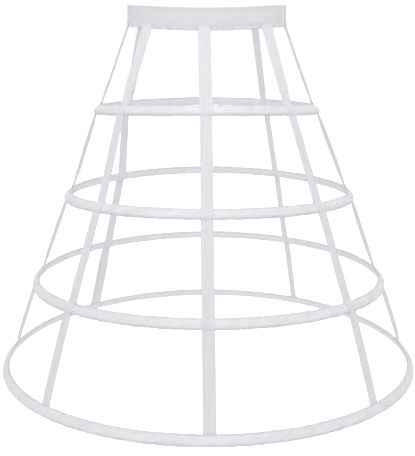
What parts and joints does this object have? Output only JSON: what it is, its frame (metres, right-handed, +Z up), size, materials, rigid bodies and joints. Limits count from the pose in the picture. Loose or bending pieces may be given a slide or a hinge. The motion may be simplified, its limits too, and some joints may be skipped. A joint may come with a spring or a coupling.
{
  "type": "crinoline cage",
  "caption": "Open cone-shaped skirt support: cloth-cased hoops that widen downwards, hung from an oval waistband on doubled ribbon tapes, worn under a full skirt.",
  "frame": {"origin": "centre of the waist opening, halfway up the band at its sides", "axes": "+Z up along the wearer's body, front towards -Y, the wearer's left hand towards +X"},
  "size_m": [1.1052, 1.1052, 0.9278],
  "materials": {
    "band_cloth": "plain matt cotton",
    "elastic": "woven elastic",
    "casing_cloth": "soft thin satin",
    "hoop_tube": "smooth milky plastic",
    "joiner_metal": "plain crimped tube",
    "tape_ribbon": "thin ribbed ribbon"
  },
  "bodies": {
    "root": {"waistband": "band_cloth", "waist_elastic": "elastic", "hoop_1_casing": "casing_cloth", "hoop_2_casing": "casing_cloth", "hoop_3_casing": "casing_cloth", "hoop_4_casing": "casing_cloth", "hoop_1_tube": "hoop_tube", "hoop_2_tube": "hoop_tube", "hoop_3_tube": "hoop_tube", "hoop_4_tube": "hoop_tube", "hoop_1_joiner": "joiner_metal", "hoop_2_joiner": "joiner_metal", "hoop_3_joiner": "joiner_metal", "hoop_4_joiner": "joiner_metal", "tape_front": "tape_ribbon", "tape_front_right": "tape_ribbon", "tape_right": "tape_ribbon", "tape_back_right": "tape_ribbon", "tape_back": "tape_ribbon", "tape_back_left": "tape_ribbon", "tape_left": "tape_ribbon", "tape_front_left": "tape_ribbon"}
  },
  "joints": []
}
